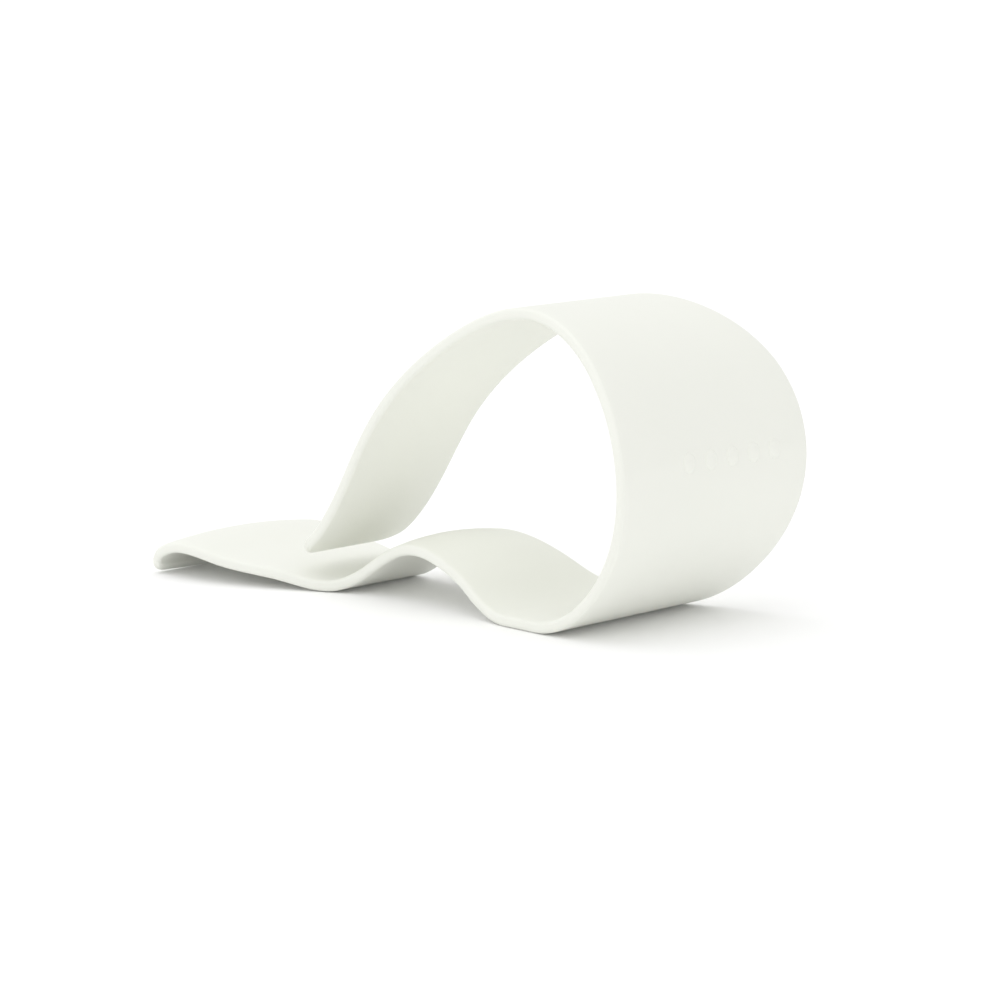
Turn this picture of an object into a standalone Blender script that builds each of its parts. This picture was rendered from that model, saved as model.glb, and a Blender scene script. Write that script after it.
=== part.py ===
"""Sprung finger clip: one moulded plastic band, bent round into a bow that holds a fingertip.

The band starts at a blunt tip, runs along a tongue, dips into a valley, climbs over a hump and
rests on a flat heel. From there it turns up round the back of the bow and over the crown, and comes
down as an arm whose lip hovers over the tongue. The lower half is stiff. The bow bends, and its
bending is carried by four flex lines across the band, each with its own section of band behind it.

Units are metres, +Z is up, +X points from the tip to the bow, and Y runs across the band.
The origin is the centre of the model's box at the level of the surface that it stands on.
"""
import math

import bmesh
import bpy
import numpy as np
from mathutils import Vector

MM = 0.001

# The band itself.
THICKNESS = 1.0 * MM
EDGE_RADIUS = 0.36 * MM
SECTION_GAP = 0.3 * MM

# Lower half: distance in front of the middle of the heel, and height of the band's middle there.
NOSE_DISTANCE = 44.15 * MM
NOSE_RADIUS = 1.0 * MM
TIP_CURL = 2.36
TONGUE_DISTANCE = 35.8 * MM
TONGUE_HEIGHT = 2.1 * MM
SEAT_DISTANCE = 28.8 * MM
SEAT_HEIGHT = 1.15 * MM
VALLEY_DISTANCE = 24.4 * MM
VALLEY_HEIGHT = 0.65 * MM
RISE_DISTANCE = 20.2 * MM
RISE_HEIGHT = 2.75 * MM
HUMP_DISTANCE = 15.6 * MM
HUMP_HEIGHT = 4.75 * MM
FALL_DISTANCE = 7.9 * MM
FALL_HEIGHT = 2.8 * MM
HEEL_LENGTH = 4.0 * MM

# Bow and upper arm: distance behind the middle of the heel (minus is in front), and height.
HAUNCH_REACH = 9.6 * MM
HAUNCH_HEIGHT = 4.2 * MM
BACK_REACH = 13.5 * MM
BACK_HEIGHT = 12.0 * MM
SHOULDER_REACH = 10.8 * MM
SHOULDER_HEIGHT = 21.7 * MM
CROWN_REACH = 0.6 * MM
CROWN_HEIGHT = 26.85 * MM
BROW_REACH = -9.6 * MM
BROW_HEIGHT = 23.6 * MM
ARM_REACH = -18.9 * MM
ARM_HEIGHT = 15.6 * MM
NECK_REACH = -24.2 * MM
NECK_HEIGHT = 7.2 * MM
LIP_REACH = -28.6 * MM
LIP_CLEARANCE = 1.3 * MM
LIP_FLARE = 0.35

# Widths of the band along its length.
TIP_WIDTH = 17.0 * MM
CREST_WIDTH = 17.6 * MM
TONGUE_WIDTH = 18.2 * MM
SEAT_WIDTH = 15.2 * MM
VALLEY_WIDTH = 12.2 * MM
RISE_WIDTH = 10.8 * MM
HUMP_WIDTH = 12.3 * MM
FALL_WIDTH = 15.1 * MM
HEEL_FRONT_WIDTH = 18.4 * MM
HEEL_REAR_WIDTH = 19.9 * MM
HAUNCH_WIDTH = 23.1 * MM
BACK_WIDTH = 25.6 * MM
SHOULDER_WIDTH = 24.4 * MM
CROWN_WIDTH = 17.8 * MM
BROW_WIDTH = 15.4 * MM
ARM_WIDTH = 14.2 * MM
NECK_WIDTH = 13.4 * MM
LIP_WIDTH = 12.6 * MM
TIP_CORNER_RADIUS = 0.8 * MM
LIP_CORNER_RADIUS = 2.5 * MM

# How far the middle of the band stands proud of its two rims.
TIP_ARCH = 0.3 * MM
CREST_ARCH = 0.45 * MM
TONGUE_ARCH = 0.35 * MM
HUMP_ARCH = 0.5 * MM

# How finely the band is faceted.
RING_SPACING = 1.2 * MM
NOSE_SPACING = 0.35 * MM
CORNER_STEPS = 2
FACE_STEPS = 4
END_STEPS = 6

BAND_COLOUR = (0.80, 0.81, 0.74, 1.0)
BAND_ROUGHNESS = 0.45


def clear_scene():
    for obj in list(bpy.data.objects):
        bpy.data.objects.remove(obj, do_unlink=True)


def band_material(name):
    material = bpy.data.materials.new(name)
    material.use_nodes = True
    shader = material.node_tree.nodes["Principled BSDF"]
    shader.inputs["Base Color"].default_value = BAND_COLOUR
    shader.inputs["Roughness"].default_value = BAND_ROUGHNESS
    shader.inputs["Metallic"].default_value = 0.0
    return material


class SmoothCurve:
    """A cubic curve of steady curvature through stations of (x, z, width, arch).

    Its heading at either end may be given as (x, z). Where it isn't, that end runs out straight.
    """

    def __init__(self, stations, start=None, end=None):
        self.points = np.array(stations, dtype=float)
        chords = np.diff(self.points, axis=0)
        steps = np.linalg.norm(chords[:, :2], axis=1)
        slopes = chords / steps[:, None]
        last = len(self.points) - 1
        matrix = np.zeros((last + 1, last + 1))
        target = np.zeros((last + 1, 4))
        for i in range(1, last):
            before, after = steps[i - 1], steps[i]
            matrix[i, i - 1 : i + 2] = (after, 2.0 * (before + after), before)
            target[i] = 3.0 * (after * slopes[i - 1] + before * slopes[i])
        for row, neighbour, slope, heading in ((0, 1, slopes[0], start), (last, last - 1, slopes[-1], end)):
            matrix[row, row] = 2.0
            matrix[row, neighbour] = 1.0
            target[row] = 3.0 * slope
            if heading is not None:
                matrix[row, row] = 1.0
                matrix[row, neighbour] = 0.0
                target[row] = (heading[0], heading[1], slope[2], slope[3])
        self.rates = np.linalg.solve(matrix, target)
        self.knots = np.concatenate(([0.0], np.cumsum(steps)))
        self.length = self.knots[-1]

    def at(self, distance):
        """The (x, z, width, arch) and the unit heading (x, z) at a distance along the curve."""
        i = int(np.clip(np.searchsorted(self.knots, distance) - 1, 0, len(self.knots) - 2))
        step = self.knots[i + 1] - self.knots[i]
        t = (distance - self.knots[i]) / step
        p0, p1 = self.points[i], self.points[i + 1]
        r0, r1 = self.rates[i] * step, self.rates[i + 1] * step
        point = (2 * t**3 - 3 * t**2 + 1) * p0 + (t**3 - 2 * t**2 + t) * r0
        point = point + (3 * t**2 - 2 * t**3) * p1 + (t**3 - t**2) * r1
        rate = (6 * t**2 - 6 * t) * (p0 - p1) + (3 * t**2 - 4 * t + 1) * r0 + (3 * t**2 - 2 * t) * r1
        heading = rate[:2] / np.linalg.norm(rate[:2])
        return point, heading

    def height_at(self, x):
        """The height of the curve where it passes a distance x, on a stretch where x only grows."""
        low, high = 0.0, self.length
        for _ in range(50):
            middle = 0.5 * (low + high)
            if self.at(middle)[0][0] < x:
                low = middle
            else:
                high = middle
        return self.at(low)[0][1]


class Band:
    """The middle of the band from the tip to the lip: lower half, level heel, then the bow and arm."""

    def __init__(self):
        middle = THICKNESS / 2
        sine, cosine = math.sin(TIP_CURL), math.cos(TIP_CURL)
        tip_share = (1 - 2 * TIP_CORNER_RADIUS / TIP_WIDTH) ** 2
        tip_height = middle * abs(cosine) - cosine * TIP_ARCH * (1 - tip_share)
        nose = (-NOSE_DISTANCE + NOSE_RADIUS, tip_height - NOSE_RADIUS * cosine)
        lower_stations = (
            (nose[0] - NOSE_RADIUS * sine, tip_height, TIP_WIDTH, TIP_ARCH),
            (-NOSE_DISTANCE, nose[1], TIP_WIDTH, TIP_ARCH),
            (nose[0], nose[1] + NOSE_RADIUS, CREST_WIDTH, CREST_ARCH),
            (-TONGUE_DISTANCE, TONGUE_HEIGHT, TONGUE_WIDTH, TONGUE_ARCH),
            (-SEAT_DISTANCE, SEAT_HEIGHT, SEAT_WIDTH, 0.0),
            (-VALLEY_DISTANCE, VALLEY_HEIGHT, VALLEY_WIDTH, 0.0),
            (-RISE_DISTANCE, RISE_HEIGHT, RISE_WIDTH, HUMP_ARCH / 2),
            (-HUMP_DISTANCE, HUMP_HEIGHT, HUMP_WIDTH, HUMP_ARCH),
            (-FALL_DISTANCE, FALL_HEIGHT, FALL_WIDTH, 0.0),
            (-HEEL_LENGTH / 2, middle, HEEL_FRONT_WIDTH, 0.0),
        )
        self.lower = SmoothCurve(lower_stations, start=(cosine, sine), end=(1.0, 0.0))
        lip_height = self.lower.height_at(LIP_REACH) + THICKNESS + LIP_CLEARANCE
        upper_stations = (
            (HEEL_LENGTH / 2, middle, HEEL_REAR_WIDTH, 0.0),
            (HAUNCH_REACH, HAUNCH_HEIGHT, HAUNCH_WIDTH, 0.0),
            (BACK_REACH, BACK_HEIGHT, BACK_WIDTH, 0.0),
            (SHOULDER_REACH, SHOULDER_HEIGHT, SHOULDER_WIDTH, 0.0),
            (CROWN_REACH, CROWN_HEIGHT, CROWN_WIDTH, 0.0),
            (BROW_REACH, BROW_HEIGHT, BROW_WIDTH, 0.0),
            (ARM_REACH, ARM_HEIGHT, ARM_WIDTH, 0.0),
            (NECK_REACH, NECK_HEIGHT, NECK_WIDTH, 0.0),
            (LIP_REACH, lip_height, LIP_WIDTH, 0.0),
        )
        flaring = (-math.cos(LIP_FLARE), -math.sin(LIP_FLARE))
        self.upper = SmoothCurve(upper_stations, start=(1.0, 0.0), end=flaring)
        self.heel_front = self.lower.length
        self.heel_rear = self.heel_front + HEEL_LENGTH
        self.length = self.heel_rear + self.upper.length
        names = ("haunch", "back", "shoulder", "crown", "brow", "arm", "neck")
        self.stops = {name: self.heel_rear + self.upper.knots[i + 1] for i, name in enumerate(names)}
        self.stops["seat"] = self.lower.knots[4]
        self.stops["rise"] = self.lower.knots[6]
        self.stops["fall"] = self.lower.knots[8]

    def at(self, distance):
        """The (x, z, width, arch) and the unit heading (x, z) at a distance from the tip."""
        if distance < self.heel_front:
            point, heading = self.lower.at(distance)
        elif distance <= self.heel_rear:
            share = (distance - self.heel_front) / HEEL_LENGTH
            point = self.lower.points[-1] * (1 - share) + self.upper.points[0] * share
            heading = np.array((1.0, 0.0))
        else:
            point, heading = self.upper.at(distance - self.heel_rear)
        width = corner_width(point[2], distance, TIP_CORNER_RADIUS)
        width = corner_width(width, self.length - distance, LIP_CORNER_RADIUS)
        share = (width / point[2]) ** 2
        lift = point[3] * (1 - share)
        place = (point[0] - heading[1] * lift, point[1] + heading[0] * lift)
        return np.array((place[0], place[1], width, point[3] * share)), heading

    def centring(self):
        """How far the band moves along X to bring the middle of its box to the origin."""
        reach = []
        for step in range(2001):
            point, heading = self.at(self.length * step / 2000)
            depths = [depth for _, depth in section_outline(point[2], point[3])]
            reach += [point[0] - heading[1] * depth for depth in (min(depths), max(depths))]
        return -(max(reach) + min(reach)) / 2


def corner_width(width, from_end, radius):
    """The width that is left near a blunt end whose corners are rounded to a radius."""
    if from_end >= radius:
        return width
    return width - 2 * (radius - math.sqrt(radius**2 - (radius - from_end) ** 2))


def section_outline(width, arch):
    """One section of the band as (across, inward) pairs: two arched faces and four rounded edges."""
    outline = []
    flat = width / 2 - EDGE_RADIUS
    for corner, (side, face) in enumerate(((1, 1), (-1, 1), (-1, -1), (1, -1))):
        for step in range(CORNER_STEPS + 1):
            angle = math.radians(90 * corner + 90 * step / CORNER_STEPS)
            across = side * flat + EDGE_RADIUS * math.cos(angle)
            outline.append((across, face * (THICKNESS / 2 - EDGE_RADIUS) + EDGE_RADIUS * math.sin(angle)))
        if side == face:
            for step in range(1, FACE_STEPS):
                outline.append((side * flat * (1 - 2 * step / FACE_STEPS), face * THICKNESS / 2))
    return [(across, depth + arch * (1 - (2 * across / width) ** 2)) for across, depth in outline]


def even_steps(start, end, spacing=RING_SPACING):
    count = max(1, round((end - start) / spacing))
    return [start + (end - start) * step / count for step in range(count + 1)]


def ring_distances(band, start, end):
    """Where a section's rings lie: closer at a rounded end, and none across the flat of the heel."""
    rounding = [1 - math.cos(0.5 * math.pi * step / END_STEPS) for step in range(END_STEPS)]
    if start == 0.0:
        corner = [TIP_CORNER_RADIUS * share for share in rounding]
        nose = even_steps(TIP_CORNER_RADIUS, band.lower.knots[2], NOSE_SPACING)
        return corner + nose[:-1] + even_steps(band.lower.knots[2], end)
    if end == band.length:
        corner = [end - LIP_CORNER_RADIUS * share for share in rounding]
        return even_steps(start, end - LIP_CORNER_RADIUS) + corner[::-1]
    if start < band.heel_front < end:
        return even_steps(start, band.heel_front) + even_steps(band.heel_rear, end)
    return even_steps(start, end)


def section_mesh(name, band, start, end, shift, origin):
    """A closed mesh of the band between two distances, measured from an origin."""
    mesh = bpy.data.meshes.new(name)
    work = bmesh.new()
    rings = []
    for distance in ring_distances(band, start, end):
        point, heading = band.at(distance)
        middle = Vector((point[0] + shift, 0.0, point[1]))
        inward = Vector((-heading[1], 0.0, heading[0]))
        ring = []
        for across, depth in section_outline(point[2], point[3]):
            place = middle + inward * depth + Vector((0.0, across, 0.0))
            ring.append(work.verts.new(place - origin))
        rings.append(ring)
    for ring, following in zip(rings, rings[1:]):
        for i in range(len(ring)):
            j = (i + 1) % len(ring)
            work.faces.new((ring[i], ring[j], following[j], following[i]))
    work.faces.new(rings[0][::-1])
    work.faces.new(rings[-1])
    bmesh.ops.recalc_face_normals(work, faces=work.faces)
    work.to_mesh(mesh)
    work.free()
    mesh.shade_smooth()
    mesh.set_sharp_from_angle(angle=math.radians(50))
    return mesh


def flex_line(name, band, stop, shift, parent):
    """An empty on the line across the band where one section bends against the last."""
    point, _ = band.at(band.stops[stop])
    empty = bpy.data.objects.new(name, None)
    bpy.context.scene.collection.objects.link(empty)
    empty.empty_display_size = THICKNESS
    place = Vector((point[0] + shift, 0.0, point[1]))
    empty["place"] = place
    if parent is not None:
        empty.parent = parent
        place = place - Vector(parent["place"])
    empty.location = place
    return empty


def band_section(name, band, start, end, shift, carrier):
    """One named section of the band, a small gap short of its neighbours, on its carrier."""
    first = 0.0 if start is None else band.stops[start] + SECTION_GAP / 2
    last = band.length if end is None else band.stops[end] - SECTION_GAP / 2
    origin = Vector() if carrier is None else Vector(carrier["place"])
    mesh = section_mesh(name, band, first, last, shift, origin)
    mesh.materials.append(band_material(name))
    section = bpy.data.objects.new(name, mesh)
    bpy.context.scene.collection.objects.link(section)
    section.parent = carrier
    return section


def build():
    clear_scene()
    band = Band()
    shift = band.centring()
    haunch = flex_line("haunch_line", band, "haunch", shift, None)
    back = flex_line("back_line", band, "back", shift, haunch)
    shoulder = flex_line("shoulder_line", band, "shoulder", shift, back)
    crown = flex_line("crown_line", band, "crown", shift, shoulder)
    sections = (
        ("tongue", None, "seat", None),
        ("valley", "seat", "rise", None),
        ("hump", "rise", "fall", None),
        ("heel", "fall", "haunch", None),
        ("bow_haunch", "haunch", "back", haunch),
        ("bow_back", "back", "shoulder", back),
        ("bow_shoulder", "shoulder", "crown", shoulder),
        ("crown", "crown", "brow", crown),
        ("arm", "brow", "neck", crown),
        ("lip", "neck", None, crown),
    )
    for name, start, end, carrier in sections:
        band_section(name, band, start, end, shift, carrier)


build()
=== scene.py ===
import bisect
import math

import bpy
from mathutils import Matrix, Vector


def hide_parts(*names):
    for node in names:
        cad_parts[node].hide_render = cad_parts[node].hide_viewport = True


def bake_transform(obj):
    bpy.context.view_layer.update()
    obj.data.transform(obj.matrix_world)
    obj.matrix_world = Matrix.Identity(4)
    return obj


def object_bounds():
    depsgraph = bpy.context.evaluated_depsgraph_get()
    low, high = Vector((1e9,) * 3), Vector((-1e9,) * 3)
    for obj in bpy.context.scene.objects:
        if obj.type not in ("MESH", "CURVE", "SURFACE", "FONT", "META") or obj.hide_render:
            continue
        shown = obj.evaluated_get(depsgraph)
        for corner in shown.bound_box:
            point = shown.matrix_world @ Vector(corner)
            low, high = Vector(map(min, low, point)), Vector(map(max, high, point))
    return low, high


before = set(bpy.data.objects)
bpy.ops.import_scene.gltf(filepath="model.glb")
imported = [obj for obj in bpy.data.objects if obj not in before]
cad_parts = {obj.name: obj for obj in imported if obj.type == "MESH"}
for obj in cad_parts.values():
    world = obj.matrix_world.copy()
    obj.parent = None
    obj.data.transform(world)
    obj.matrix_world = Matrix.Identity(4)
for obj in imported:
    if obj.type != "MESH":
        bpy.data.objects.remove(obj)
cad_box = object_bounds()

# ---------------------------------------------------------------------------------------------
# The camera: a long lens, low and to the right of the clip's open side, aimed into the bow.
# ---------------------------------------------------------------------------------------------
CAMERA_AZIMUTH = math.radians(39.9)
CAMERA_ELEVATION = math.radians(8.5)
CAMERA_DISTANCE = 0.3485
CAMERA_AIM = Vector((0.005564, 0.0, 0.00911))
CAMERA_LENS = 142.6
CAMERA_SENSOR = 36.0

sight = Vector((
    math.sin(CAMERA_AZIMUTH) * math.cos(CAMERA_ELEVATION),
    -math.cos(CAMERA_AZIMUTH) * math.cos(CAMERA_ELEVATION),
    math.sin(CAMERA_ELEVATION),
))
bpy.ops.object.camera_add(location=CAMERA_AIM + sight * CAMERA_DISTANCE)
camera = bpy.context.active_object
camera.name = "camera"
camera.rotation_euler = sight.to_track_quat("Z", "Y").to_euler()
camera.data.lens = CAMERA_LENS
camera.data.sensor_width = CAMERA_SENSOR
camera.data.clip_start = 0.01
camera.data.clip_end = 50.0
bpy.context.scene.camera = camera

# ---------------------------------------------------------------------------------------------
# The studio: a white floor that runs out of sight, a white room, and three large soft lamps.
# One of them stands for the glow off the floor, and throws no shadow. Sizes are in metres.
# ---------------------------------------------------------------------------------------------
FLOOR_SIZE = 12.0
FLOOR_DROP = 0.00002
FLOOR_COLOUR = (0.95, 0.95, 0.95, 1.0)
ROOM_STRENGTH = 0.95

bpy.ops.mesh.primitive_plane_add(size=FLOOR_SIZE, location=(0.0, 0.0, -FLOOR_DROP))
floor = bpy.context.active_object
floor.name = "floor"
floor_paint = bpy.data.materials.new("floor_paint")
floor_paint.use_nodes = True
floor_shader = floor_paint.node_tree.nodes["Principled BSDF"]
floor_shader.inputs["Base Color"].default_value = FLOOR_COLOUR
floor_shader.inputs["Roughness"].default_value = 0.9
floor_shader.inputs["Specular IOR Level"].default_value = 0.1
floor.data.materials.append(floor_paint)

room = bpy.data.worlds.new("room")
room.use_nodes = True
room.node_tree.nodes["Background"].inputs["Color"].default_value = (1.0, 1.0, 1.0, 1.0)
room.node_tree.nodes["Background"].inputs["Strength"].default_value = ROOM_STRENGTH
bpy.context.scene.world = room
bpy.context.scene.view_settings.view_transform = "Standard"


def soft_lamp(name, right, ahead, up, strength, spread, shadow=True):
    """A broad, even lamp. Its place is given to the right of, ahead of and above the clip as seen."""
    sideways = Vector((math.cos(CAMERA_AZIMUTH), math.sin(CAMERA_AZIMUTH), 0.0))
    onwards = Vector((-math.sin(CAMERA_AZIMUTH), math.cos(CAMERA_AZIMUTH), 0.0))
    heading = (sideways * right + onwards * ahead + Vector((0.0, 0.0, up))).normalized()
    bpy.ops.object.light_add(type="SUN", location=heading)
    lamp = bpy.context.active_object
    lamp.name = name
    lamp.data.energy = strength
    lamp.data.angle = math.radians(spread)
    lamp.data.use_shadow = shadow
    lamp.rotation_euler = heading.to_track_quat("Z", "Y").to_euler()


soft_lamp("overhead_lamp", right=-0.4, ahead=0.1, up=1.0, strength=0.62, spread=75)
soft_lamp("front_lamp", right=-0.75, ahead=-1.2, up=0.8, strength=0.22, spread=20)
soft_lamp("floor_glow", right=0.35, ahead=-0.5, up=-0.8, strength=0.2, spread=60, shadow=False)

# A faint lamp within the bow stands for the light that a milky wall lets through.
GLOW_PLACE = (0.006, 0.0, 0.0120)
GLOW_SIZE = 0.006
GLOW_POWER = 0.00038
bpy.ops.object.light_add(type="POINT", location=GLOW_PLACE)
glow = bpy.context.active_object
glow.name = "wall_glow"
glow.data.energy = GLOW_POWER
glow.data.shadow_soft_size = GLOW_SIZE
glow.visible_camera = False

# ---------------------------------------------------------------------------------------------
# The band: one injection moulding of off-white plastic, about a millimetre thick, which springs
# open at the bow. It is laid out flat as a plate with rounded corners and a rounded rim, parted
# across the bow so that each length holds one flex line, and then curled to the frame's line.
# ---------------------------------------------------------------------------------------------
LOWER_SECTIONS = ("tongue", "valley", "hump", "heel")
UPPER_SECTIONS = ("bow_haunch", "bow_back", "bow_shoulder", "crown", "arm", "lip")
FLEX_SECTIONS = ("bow_haunch", "bow_back", "bow_shoulder", "crown")
WALL = 0.001
RIM_RADIUS = 0.00036
RIM_STEPS = 4
SAME = 0.000002
TIP_CORNER = 0.0008
LIP_CORNER = 0.0025
CORNER_STEPS = 8
STRAIGHT = 0.0018
ROW_STEP = 0.0004
COLUMN_STEP = 0.0009
PLATE_WIDTH = 0.013
SHARP_ANGLE = math.radians(50)
SHADING_ANGLE = math.radians(40)


def section_rings(name, last):
    """A frame section's rings in order: the middle of each at its centre line, half width and arch."""
    places = sorted({tuple(round(c, 7) for c in v.co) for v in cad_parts[name].data.vertices})
    points = [Vector(place) for place in places]
    centres = [point for point in points if abs(point.y) < SAME]
    found = []
    for i, point in enumerate(points):
        for other in points[i + 1 :]:
            apart = (point - other).length
            if point.y > 0 and abs(point.y - other.y) < SAME and abs(apart - WALL + 2 * RIM_RADIUS) < SAME:
                rim = (point + other) / 2
                rim.y = 0.0
                deep = (point - other).normalized()
                ahead = Vector((-deep.z, 0.0, deep.x))
                level = [c for c in centres if abs((c - rim).dot(ahead)) < 2 * SAME]
                near = sorted(level, key=lambda c: (c - rim).length)[:2]
                middle = (near[0] + near[1]) / 2 if len(near) == 2 else rim
                if (middle - rim).length > WALL:
                    middle = rim
                found.append((middle, point.y, (middle - rim).length))
    ordered = []
    while found:
        ring = min(found, key=lambda each: (each[0] - last).length)
        found.remove(ring)
        ordered.append(ring)
        last = ring[0]
    return ordered


middles = []
half_widths = []
arches = []
flex_rings = []
for name in LOWER_SECTIONS + UPPER_SECTIONS:
    start = middles[-1] if middles else Vector((cad_box[0][0] + WALL, 0.0, 0.0))
    section = section_rings(name, start)
    if middles:
        middles[-1] = (middles[-1] + section[0][0]) / 2
        section = section[1:]
    if name in FLEX_SECTIONS:
        flex_rings.append(len(middles) - 1)
    for middle, half_width, arch in section:
        middles.append(middle)
        half_widths.append(half_width)
        arches.append(arch)
run = [0.0]
for before, after in zip(middles, middles[1:]):
    run.append(run[-1] + (after - before).length)
length = run[-1]

# Within its rounded corners the plate keeps the width and the arch of the rings next to them.
from_tip = next(i for i, distance in enumerate(run) if distance > TIP_CORNER - SAME)
from_lip = next(i for i, distance in enumerate(run) if distance > length - LIP_CORNER - SAME)
half_widths[:from_tip] = [half_widths[from_tip]] * from_tip
arches[:from_tip] = [arches[from_tip]] * from_tip
half_widths[from_lip:] = [half_widths[from_lip]] * (len(run) - from_lip)


def slope(values, i):
    """How fast a value changes at one ring. A long gap between rings is straight, and rules its ends."""
    if i == 0:
        return (values[1] - values[0]) / (run[1] - run[0])
    before = (values[i] - values[i - 1]) / (run[i] - run[i - 1])
    if i == len(run) - 1 or run[i] - run[i - 1] > STRAIGHT:
        return before
    after = (values[i + 1] - values[i]) / (run[i + 1] - run[i])
    if run[i + 1] - run[i] > STRAIGHT:
        return after
    share = (run[i + 1] - run[i]) / (run[i + 1] - run[i - 1])
    return before * share + after * (1 - share)


def along_band(values, distance):
    """A value and its slope at a distance from the tip, on a smooth curve through the rings."""
    i = min(max(bisect.bisect_right(run, distance), 1), len(run) - 1)
    gap = run[i] - run[i - 1]
    t = (distance - run[i - 1]) / gap
    low, high = values[i - 1], values[i]
    low_slope, high_slope = slope(values, i - 1) * gap, slope(values, i) * gap
    value = low * (2 * t**3 - 3 * t**2 + 1) + high * (3 * t**2 - 2 * t**3)
    value = value + low_slope * (t**3 - 2 * t**2 + t) + high_slope * (t**3 - t**2)
    rate = (high - low) * (6 * t - 6 * t**2)
    rate = rate + low_slope * (3 * t**2 - 4 * t + 1) + high_slope * (3 * t**2 - 2 * t)
    return value, rate / gap


def curl(piece):
    """Carries a flat piece, drawn in distance, width and depth, onto the band's curved middle."""
    for vertex in piece.data.vertices:
        distance, across, depth = vertex.co
        middle, heading = along_band(middles, distance)
        heading = heading.normalized()
        half_width = along_band(half_widths, distance)[0]
        arch = along_band(arches, distance)[0]
        depth -= arch * (across / half_width) ** 2
        vertex.co = middle + Vector((-heading.z, 0.0, heading.x)) * depth + Vector((0.0, across, 0.0))


bpy.ops.object.select_all(action="DESELECT")
bpy.ops.mesh.primitive_cube_add(size=1, location=(length / 2, 0.0, 0.0), scale=(length, PLATE_WIDTH, WALL))
plate = bpy.context.active_object
plate.name = "plate"
bpy.ops.object.transform_apply(location=True, rotation=True, scale=True)
for end, radius in ((0.0, TIP_CORNER), (length, LIP_CORNER)):
    bpy.ops.object.mode_set(mode="EDIT")
    bpy.ops.mesh.select_mode(type="EDGE")
    bpy.ops.mesh.select_all(action="DESELECT")
    bpy.ops.object.mode_set(mode="OBJECT")
    for edge in plate.data.edges:
        first, second = (plate.data.vertices[index].co for index in edge.vertices)
        upright = abs(first.z - second.z) > WALL / 2
        edge.select = upright and abs(first.x - end) < SAME and abs(second.x - end) < SAME
    bpy.ops.object.mode_set(mode="EDIT")
    bpy.ops.mesh.bevel(offset=radius, segments=CORNER_STEPS, affect="EDGES")
bpy.ops.mesh.select_all(action="DESELECT")
bpy.ops.mesh.edges_select_sharp(sharpness=SHARP_ANGLE)
bpy.ops.mesh.bevel(offset=RIM_RADIUS, segments=RIM_STEPS, affect="EDGES")
for row in range(1, int(length / ROW_STEP) + 1):
    bpy.ops.mesh.select_all(action="SELECT")
    bpy.ops.mesh.bisect(plane_co=(row * ROW_STEP, 0.0, 0.0), plane_no=(1.0, 0.0, 0.0))
flat_half = PLATE_WIDTH / 2 - RIM_RADIUS
columns = int(flat_half / COLUMN_STEP)
for column in range(-columns, columns + 1):
    bpy.ops.mesh.select_all(action="SELECT")
    bpy.ops.mesh.bisect(plane_co=(0.0, column * COLUMN_STEP, 0.0), plane_no=(0.0, 1.0, 0.0))
bpy.ops.object.mode_set(mode="OBJECT")

# The plate is given the band's own width all along, with its rounded rim kept to size.
for vertex in plate.data.vertices:
    across = abs(vertex.co.y)
    half_width = along_band(half_widths, vertex.co.x)[0] - RIM_RADIUS
    wide = across / flat_half * half_width if across < flat_half else half_width + across - flat_half
    vertex.co.y = math.copysign(wide, vertex.co.y)

# The moulded plastic: off-white with a faint warm green in it, satin, and finely grained. Its tint
# and its sheen wander a little over the surface.
PLASTIC_PALE = (0.815, 0.824, 0.765, 1.0)
PLASTIC_DEEP = (0.785, 0.794, 0.735, 1.0)
PLASTIC_IOR = 1.49
CLOUD_SIZE = 60.0
SHEEN_SIZE = 700.0
SHEEN_GLOSSY = 0.42
SHEEN_DULL = 0.58
GRAIN_SIZE = 5200.0
GRAIN_STRENGTH = 0.5
GRAIN_DEPTH = 0.000012

plastic = bpy.data.materials.new("band_plastic")
plastic.use_nodes = True
nodes = plastic.node_tree.nodes
links = plastic.node_tree.links
shader = nodes["Principled BSDF"]
place = nodes.new("ShaderNodeTexCoord")
cloud = nodes.new("ShaderNodeTexNoise")
cloud.inputs["Scale"].default_value = CLOUD_SIZE
cloud.inputs["Detail"].default_value = 3.0
tint = nodes.new("ShaderNodeMix")
tint.data_type = "RGBA"
tint.inputs[6].default_value = PLASTIC_DEEP
tint.inputs[7].default_value = PLASTIC_PALE
patch = nodes.new("ShaderNodeTexNoise")
patch.inputs["Scale"].default_value = SHEEN_SIZE
patch.inputs["Detail"].default_value = 4.0
dull = nodes.new("ShaderNodeMapRange")
dull.inputs["To Min"].default_value = SHEEN_GLOSSY
dull.inputs["To Max"].default_value = SHEEN_DULL
grain = nodes.new("ShaderNodeTexNoise")
grain.inputs["Scale"].default_value = GRAIN_SIZE
grain.inputs["Detail"].default_value = 3.0
bump = nodes.new("ShaderNodeBump")
bump.inputs["Strength"].default_value = GRAIN_STRENGTH
bump.inputs["Distance"].default_value = GRAIN_DEPTH
links.new(place.outputs["Object"], cloud.inputs["Vector"])
links.new(place.outputs["Object"], patch.inputs["Vector"])
links.new(place.outputs["Object"], grain.inputs["Vector"])
links.new(cloud.outputs["Fac"], tint.inputs["Factor"])
links.new(tint.outputs[2], shader.inputs["Base Color"])
links.new(patch.outputs["Fac"], dull.inputs["Value"])
links.new(dull.outputs["Result"], shader.inputs["Roughness"])
links.new(grain.outputs["Fac"], bump.inputs["Height"])
links.new(bump.outputs["Normal"], shader.inputs["Normal"])
shader.inputs["IOR"].default_value = PLASTIC_IOR
plate.data.materials.append(plastic)
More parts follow.
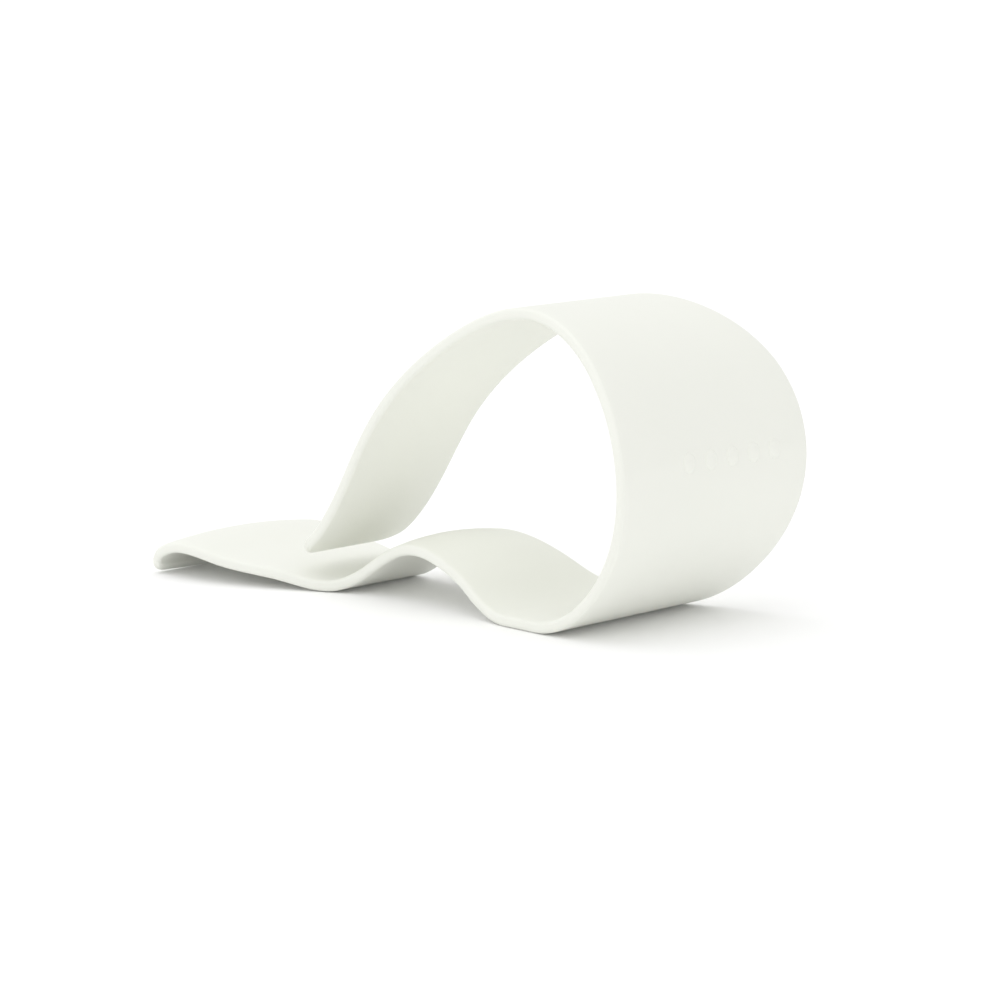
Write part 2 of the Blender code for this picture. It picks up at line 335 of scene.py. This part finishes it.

# The band parts halfway between its flex lines, so that each length holds one of them.
PARTS = ("tongue_and_heel", "haunch_band", "back_band", "arm_and_lip")
REPLACED = (
    ("tongue", "valley", "hump", "heel"),
    ("bow_haunch",),
    ("bow_back",),
    ("bow_shoulder", "crown", "arm", "lip"),
)
flex_runs = [run[i] for i in flex_rings]
cuts = [round((a + b) / 2 / ROW_STEP) * ROW_STEP for a, b in zip(flex_runs, flex_runs[1:])]
ends = [0.0] + cuts + [length]
for number, name in enumerate(PARTS):
    part = plate.copy()
    part.data = plate.data.copy()
    part.name = name
    part.data.name = name
    bpy.context.collection.objects.link(part)
    bpy.ops.object.select_all(action="DESELECT")
    bpy.context.view_layer.objects.active = part
    part.select_set(True)
    bpy.ops.object.mode_set(mode="EDIT")
    if number > 0:
        bpy.ops.mesh.select_all(action="SELECT")
        bpy.ops.mesh.bisect(
            plane_co=(ends[number], 0.0, 0.0), plane_no=(1.0, 0.0, 0.0), use_fill=True, clear_inner=True
        )
    if number < len(PARTS) - 1:
        bpy.ops.mesh.select_all(action="SELECT")
        bpy.ops.mesh.bisect(
            plane_co=(ends[number + 1], 0.0, 0.0), plane_no=(1.0, 0.0, 0.0), use_fill=True, clear_outer=True
        )
    bpy.ops.mesh.select_all(action="DESELECT")
    bpy.ops.object.mode_set(mode="OBJECT")
    curl(part)
    bpy.ops.object.shade_smooth_by_angle(angle=SHADING_ANGLE)
    line = flex_runs[number]
    room = min(line - ends[number], ends[number + 1] - line)
    heading = along_band(middles, line)[1].normalized()
    middle = middles[flex_rings[number]]
    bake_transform(part)
    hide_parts(*REPLACED[number])
bpy.data.objects.remove(plate)

# ---------------------------------------------------------------------------------------------
# The pips: a row of plain raised domes on the outside of the bow, for the thumb to find. One dome
# is drawn flat and copied across, and each is curled onto the band.
# ---------------------------------------------------------------------------------------------
PIP_COUNT = 5
PIP_PITCH = 0.003
PIP_RADIUS = 0.0009
PIP_PROUD = 0.00022
PIP_SUNK = 0.00012
PIP_DISTANCE = 0.07137
PIP_MIDDLE = 0.002
PIP_SEGMENTS = 40
PIP_RINGS = 20

bpy.ops.object.select_all(action="DESELECT")
bpy.ops.mesh.primitive_uv_sphere_add(segments=PIP_SEGMENTS, ring_count=PIP_RINGS, radius=1.0)
dome = bpy.context.active_object
dome.scale = (PIP_RADIUS, PIP_RADIUS, PIP_PROUD + PIP_SUNK)
bpy.ops.object.transform_apply(location=False, rotation=False, scale=True)
dome.data.materials.append(plastic)
domes = []
for number in range(PIP_COUNT):
    pip = dome.copy()
    pip.data = dome.data.copy()
    pip.name = f"pip_{number + 1}"
    bpy.context.collection.objects.link(pip)
    across = PIP_MIDDLE + (number - (PIP_COUNT - 1) / 2) * PIP_PITCH
    for vertex in pip.data.vertices:
        vertex.co = vertex.co + Vector((PIP_DISTANCE, across, PIP_SUNK - WALL / 2))
    curl(pip)
    domes.append(pip)
bpy.data.objects.remove(dome)
bpy.ops.object.select_all(action="DESELECT")
for pip in domes:
    pip.select_set(True)
bpy.context.view_layer.objects.active = domes[0]
bpy.ops.object.join()
pips = bpy.context.active_object
pips.name = "pips"
bpy.ops.object.shade_smooth_by_angle(angle=SHADING_ANGLE)
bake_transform(pips)
